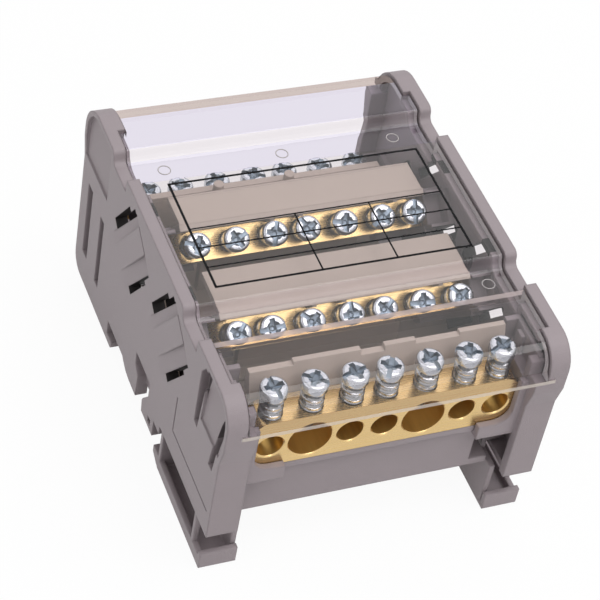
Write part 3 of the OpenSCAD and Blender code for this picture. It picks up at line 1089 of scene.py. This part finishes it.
    def place(self, row: int, index: int) -> Matrix:
        """Gives the matrix of one screw.

        Args:
            row: Row of the bar, from one.
            index: Place along the bar, from one.

        Returns:
            The matrix from the screw's own frame to the part's.
        """
        y, z = self.bar_at[row - 1]
        turn = math.pi if row in self.turned else 0.0
        start, by_place, by_row = self.drive_turn
        return (
            Matrix.Translation((0, y * MM, z * MM))
            @ Matrix.Rotation(math.radians(self.lean(row)), 4, "X")
            @ Matrix.Rotation(turn, 4, "Z")
            @ Matrix.Translation((self.holes[index - 1] * MM, 0, (self.bar_half + self.rises[row - 1]) * MM))
            @ Matrix.Rotation(math.radians(start + by_place * index + by_row * row), 4, "Z")
        )

    def build(self) -> None:
        """Puts a screw at every place."""
        base = self.pattern()
        for row in range(1, len(self.bar_at) + 1):
            for index in range(1, len(self.holes) + 1):
                node = f"screw_{row}_{index}"
                mesh = base.copy()
                mesh.transform(self.place(row, index))
                place_piece(link_object(f"{node}_dressed", mesh), node, [node])


@dataclass
class CoverPrint:
    """The printed frame on the cover: thin dark rules.

    Attributes:
        top: Height of the cover's upper face.
        half_width: Half the width of the frame.
        front: Front edge of the frame.
        rear: Rear edge of the frame.
        row_height: Height of each of the front rows.
        rows: Number of front rows.
        line: Width of an inner rule.
        border: Width of the outer rules.
        columns: Places of the upright rules.
        lift: Gap between the cover and the print.
        thick: Thickness of the print.
    """

    top: float = 48.95
    half_width: float = 27.4
    front: float = -13.35
    rear: float = 16.27
    row_height: float = 5.44
    rows: int = 3
    line: float = 0.37
    border: float = 0.54
    columns: Sequence[float] = (-5.0, 11.15)
    lift: float = 0.002
    thick: float = 0.02

    def bar(self, shape: BMesh, low: Pair, high: Pair) -> None:
        """Adds one thin printed rule.

        Args:
            shape: Mesh to add to.
            low: Lowest X and Y.
            high: Highest X and Y.
        """
        base = self.top + self.lift
        add_box(shape, (*low, base), (*high, base + self.thick))

    def build(self) -> None:
        """Draws the frame."""
        shape = bmesh.new()
        w, half, edge = self.half_width, self.line / 2, self.border / 2
        inner_top = self.front + self.rows * self.row_height
        for i in range(1, self.rows + 1):
            y = self.front + i * self.row_height
            self.bar(shape, (-w, y - half), (w, y + half))
        for y in (self.front, self.rear):
            self.bar(shape, (-w - edge, y - edge), (w + edge, y + edge))
        for x in (-w, w):
            self.bar(shape, (x - edge, self.front), (x + edge, self.rear))
        for x in self.columns:
            self.bar(shape, (x - half, self.front), (x + half, inner_top))
        mesh = mesh_of("cover_print", shape)
        mesh.materials.append(INK.build())
        place_piece(link_object("cover_print", mesh), Body.COVER.value)


@dataclass
class CoverMarks:
    """The ring marks that the mould's ejector pins leave in the cover's groove floors.

    Attributes:
        level: Height of the groove floor on the cover.
        radius: Radius of a ring.
        tube: Radius of the raised line.
        places: X and Y of each ring.
        ring_sides: Sides of a ring.
        tube_sides: Sides of the raised line.
        crease: Edges sharper than this angle stay sharp, in degrees.
    """

    level: float = 45.85
    radius: float = 1.3
    tube: float = 0.11
    places: Sequence[Pair] = ((-25.6, 23.7), (0.3, 23.7), (25.6, 23.7), (28.2, -21.6))
    ring_sides: int = 40
    tube_sides: int = 8
    crease: float = 60.0

    def tree(self) -> NodeTree:
        """Builds the tree that sets a thin ring on every point.

        Returns:
            The Geometry Nodes tree.
        """
        kit = geometry_kit("ring_marks", ("Radius", "Tube"))
        inside = kit.add("NodeGroupInput").outputs
        loop = kit.circle(inside["Radius"], self.ring_sides)
        line = kit.circle(inside["Tube"], self.tube_sides)
        spread = kit.add("GeometryNodeInstanceOnPoints")
        kit.link(inside["Geometry"], spread.inputs["Points"])
        kit.link(kit.sweep(loop, line, caps=False), spread.inputs["Instance"])
        kit.put_out(spread.outputs[0], inside["Finish"])
        return kit.tree

    def build(self) -> None:
        """Sets the rings on the cover."""
        mesh = bpy.data.meshes.new("cover_marks")
        mesh.from_pydata([(x * MM, y * MM, self.level * MM) for x, y in self.places], [], [])
        piece = link_object("cover_marks", mesh)
        grow(piece, self.tree(), {"Radius": self.radius * MM, "Tube": self.tube * MM, "Finish": MARK.build()})
        shade(piece.data, self.crease)
        place_piece(piece, Body.COVER.value)


@dataclass(frozen=True)
class Lamp:
    """A soft square lamp.

    Attributes:
        name: The lamp's name.
        at: Where it hangs.
        size: Its side.
        power: Its power in watts.
    """

    name: str
    at: Point
    size: float
    power: float

    def build(self, aim: Point) -> None:
        """Hangs the lamp.

        Args:
            aim: What it points at.
        """
        data = bpy.data.lights.new(self.name, "AREA")
        data.size = self.size
        data.energy = self.power
        obj = link_object(self.name, data)
        obj.location = self.at
        obj.rotation_euler = (Vector(aim) - Vector(self.at)).to_track_quat("-Z", "Y").to_euler()


@dataclass
class Studio:
    """Camera, soft lamps, pale floor and white surround.

    Attributes:
        lens: Focal length in millimetres.
        sensor: Width of the sensor in millimetres.
        near: Nearest distance that the camera shows.
        eye: Where the camera stands.
        right: Direction to the right in the picture.
        down: Direction downwards in the picture.
        forward: Direction of sight.
        ambient: Strength of the light from all sides.
        aim: What the lamps point at.
        lamps: The soft lamps.
        floor_size: Side of the floor.
        floor_drop: Gap between the part and the floor.
        floor_colour: Colour of the floor.
        floor_roughness: Roughness of the floor.
        floor_glow: Share of plain white where the floor is seen.
    """

    lens: float = 129.49
    sensor: float = 36.0
    near: float = 0.01
    eye: Point = (-0.15453, -0.28037, 0.34268)
    right: Point = (0.92739, -0.34614, 0.14191)
    down: Point = (-0.15518, -0.70110, -0.69598)
    forward: Point = (0.34040, 0.62342, -0.70390)
    ambient: float = 0.40
    aim: Point = (0.0, 0.0, 0.03)
    lamps: Sequence[Lamp] = (
        Lamp("over", (0.2, -0.36, 1.0), 0.9, 8.6),
        Lamp("side", (-0.8, 0.0, 0.5), 0.8, 1.4),
        Lamp("front", (0.3, -1.0, 0.25), 0.3, 0.3),
        Lamp("rear", (0.36, 0.66, 0.75), 0.9, 1.9),
    )
    floor_size: float = 3.0
    floor_drop: float = 0.0002
    floor_colour: Colour = (0.85, 0.85, 0.85, 1)
    floor_roughness: float = 0.8
    floor_glow: float = 0.94

    def camera(self) -> None:
        """Sets the camera where the photograph was taken from."""
        data = bpy.data.cameras.new("camera")
        data.lens = self.lens
        data.sensor_width = self.sensor
        data.clip_start = self.near
        obj = link_object("camera", data)
        side, up, back = Vector(self.right), -Vector(self.down), -Vector(self.forward)
        turn = Matrix((side, up, back)).transposed().to_4x4()
        obj.matrix_world = Matrix.Translation(self.eye) @ turn
        bpy.context.scene.camera = obj

    def surround(self) -> None:
        """Makes the world: soft fill light, and white wherever it is seen or mirrored."""
        world = bpy.data.worlds.new("studio")
        bpy.context.scene.world = world
        world.use_nodes = True
        kit = NodeKit(world.node_tree)
        backdrop = world.node_tree.nodes["Background"]
        backdrop.inputs["Color"].default_value = (1, 1, 1, 1)
        strength = kit.add("ShaderNodeMapRange")
        fill(strength, {"To Min": self.ambient, "To Max": 1.0})
        kit.link(kit.seen(), strength.inputs["Value"])
        kit.link(strength.outputs["Result"], backdrop.inputs["Strength"])

    def floor(self) -> None:
        """Lays the pale floor, which shows white and keeps a soft shadow."""
        shape = bmesh.new()
        bmesh.ops.create_grid(shape, x_segments=1, y_segments=1, size=self.floor_size / 2)
        mesh = mesh_of("floor", shape)
        material = bpy.data.materials.new("floor_white")
        material.use_nodes = True
        kit = NodeKit(material.node_tree)
        shader = material.node_tree.nodes["Principled BSDF"]
        fill(shader, {"Base Color": self.floor_colour, "Roughness": self.floor_roughness})
        glow = kit.add("ShaderNodeEmission")
        glow.inputs["Strength"].default_value = 1.0
        mix = kit.add("ShaderNodeMixShader")
        kit.link(kit.math("MULTIPLY", kit.seen(), self.floor_glow), mix.inputs["Fac"])
        kit.link(shader.outputs["BSDF"], mix.inputs[1])
        kit.link(glow.outputs["Emission"], mix.inputs[2])
        kit.link(mix.outputs["Shader"], material.node_tree.nodes["Material Output"].inputs["Surface"])
        mesh.materials.append(material)
        obj = link_object("floor", mesh)
        obj.location = (0, 0, -self.floor_drop)

    def build(self) -> None:
        """Sets up the whole studio."""
        self.camera()
        self.surround()
        self.floor()
        for lamp in self.lamps:
            lamp.build(self.aim)
        bpy.context.scene.view_settings.view_transform = "Standard"


def main() -> None:
    """Builds the dressed block and its studio in order."""
    logging.basicConfig(level=logging.INFO, format="%(name)s: %(message)s")
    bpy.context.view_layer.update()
    Studio().build()
    for side in ("left", "right"):
        EndWall(
            f"wall_{side}", Body.BLOCK.value, Slot.GREY, GREY, (GREY_PAINTED_WINDOW_SHADE, GREY_PAINTED_SLOT_SHADE), ease=0.4, segments=3
        ).build()
        slider = Body(f"slider_{side}").value
        MouldedPiece(slider, slider, Slot.GREY, GREY, ease=0.25).build()
    Carrier("carrier", Body.BLOCK.value, Slot.GREY, GREY_PAINTED_LIGHT, (GREY,), ease=0.25).build()
    ClearCover(
        "cover", Body.COVER.value, Slot.CLEAR, CLEAR,
        (CLEAR_BEND_TINT_AND_SHADE, CLEAR_STEP, CLEAR_END, CLEAR_VEIL, CLEAR_LIP_HIGHLIGHT, CLEAR_REAR),
        # The eased edges take the bend's tint and painted shade.
        edge=CoverZone.BEND, ease=0.2,
    ).build()
    screws = TerminalScrews()
    for row, middle in enumerate(screws.bar_at, 1):
        TerminalBar(
            f"bar_{row}", Body.BLOCK.value, Slot.BRASS, BRASS, (BORE,),
            ease=0.2, lean=screws.lean(row), middle=middle,
        ).build()
    screws.build()
    CoverPrint().build()
    CoverMarks().build()


if __name__ == "__main__":
    main()
